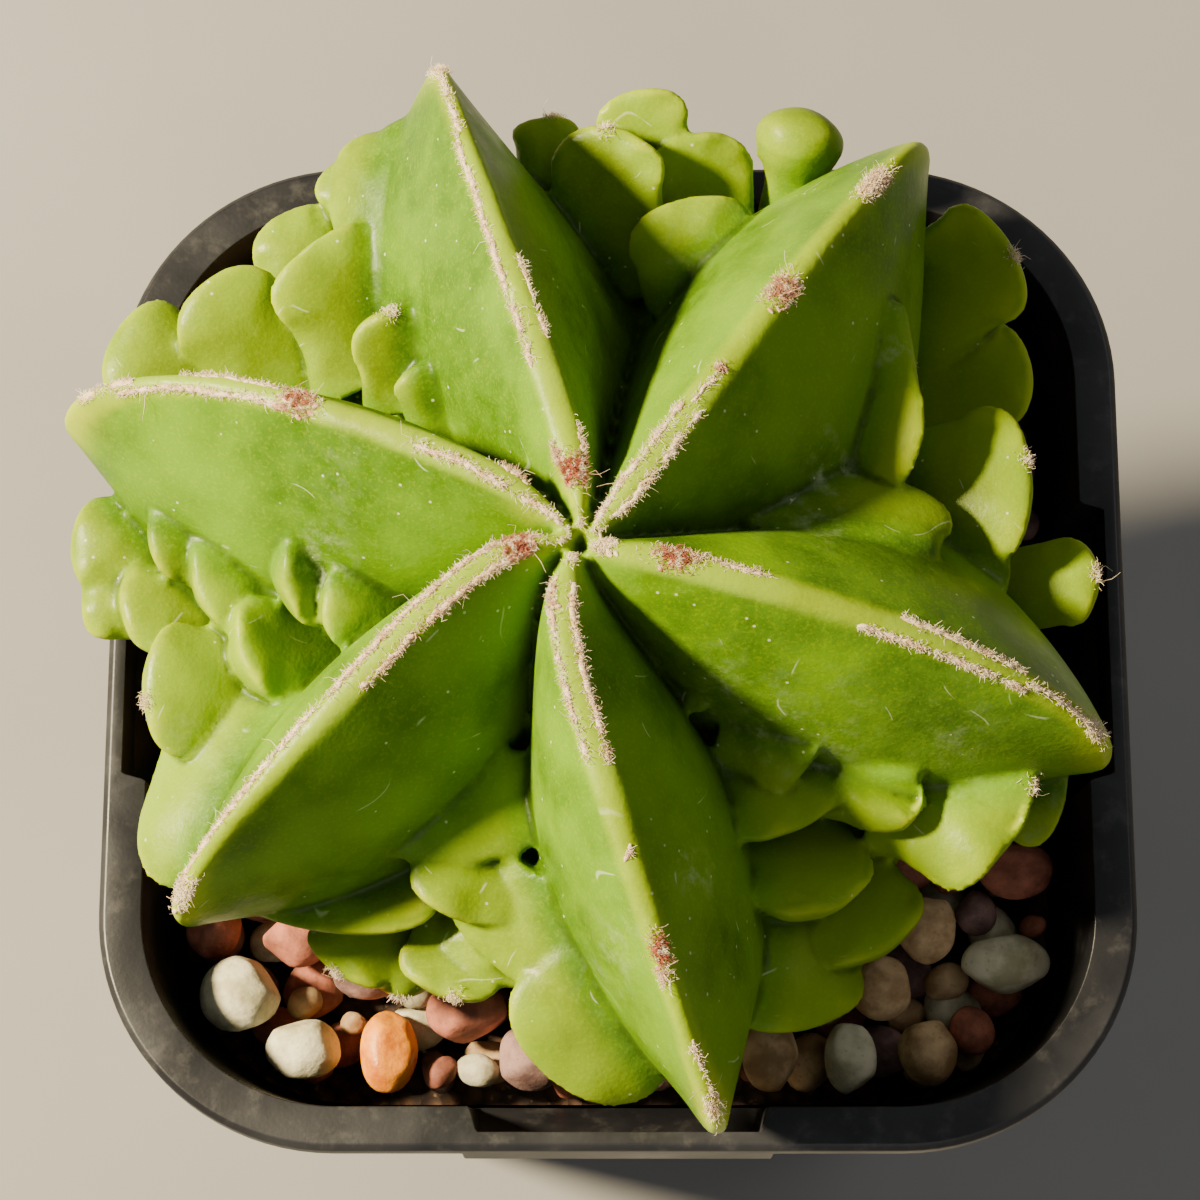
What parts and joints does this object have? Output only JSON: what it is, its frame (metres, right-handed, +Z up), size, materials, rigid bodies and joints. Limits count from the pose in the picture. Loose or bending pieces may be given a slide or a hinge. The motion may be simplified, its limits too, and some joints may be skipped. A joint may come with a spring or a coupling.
{
  "type": "potted bishops cap cactus",
  "caption": "Smooth green ribbed bishops cap cactus with lobed furrows and felted crests, standing in a square black nursery pot topped with mixed gravel.",
  "frame": {"origin": "centre of the pot's flat base, on the surface that it stands on", "axes": "+Z up through the plant, +X to the right and -Y towards the viewer of the picture"},
  "size_m": [0.0883, 0.0898, 0.1055],
  "materials": {
    "plant_skin": "smooth waxy green succulent skin, yellow-green where it is thin",
    "areole_felt": "short cream and reddish-brown wool",
    "pot_plastic": "black injection-moulded polypropylene with a soft grey sheen",
    "potting_mix": "dark crumbly potting mix",
    "gravel": "small rough mixed gravel",
    "cream_stone": "worn cream river stone",
    "red_stone": "terracotta-red stone",
    "mauve_stone": "mauve-brown stone",
    "amber_stone": "amber-orange stone",
    "tan_stone": "tan river stone"
  },
  "bodies": {
    "root": {"pot": "pot_plastic", "potting_soil": "potting_mix", "gravel_bed": "gravel", "cactus_body": "plant_skin", "crown_wool": "areole_felt", "rib_felt_1": "areole_felt", "rib_felt_2": "areole_felt", "rib_felt_3": "areole_felt", "rib_felt_4": "areole_felt", "rib_felt_5": "areole_felt", "rib_felt_6": "areole_felt", "river_stone_01": "cream_stone", "river_stone_02": "cream_stone", "river_stone_03": "amber_stone", "river_stone_04": "red_stone", "river_stone_05": "mauve_stone", "river_stone_06": "red_stone", "river_stone_07": "red_stone", "river_stone_08": "mauve_stone", "river_stone_09": "tan_stone", "river_stone_10": "cream_stone", "river_stone_11": "tan_stone", "river_stone_12": "tan_stone", "river_stone_13": "cream_stone", "river_stone_14": "tan_stone", "river_stone_15": "tan_stone", "river_stone_16": "red_stone", "river_stone_17": "tan_stone", "river_stone_18": "mauve_stone"}
  },
  "joints": []
}
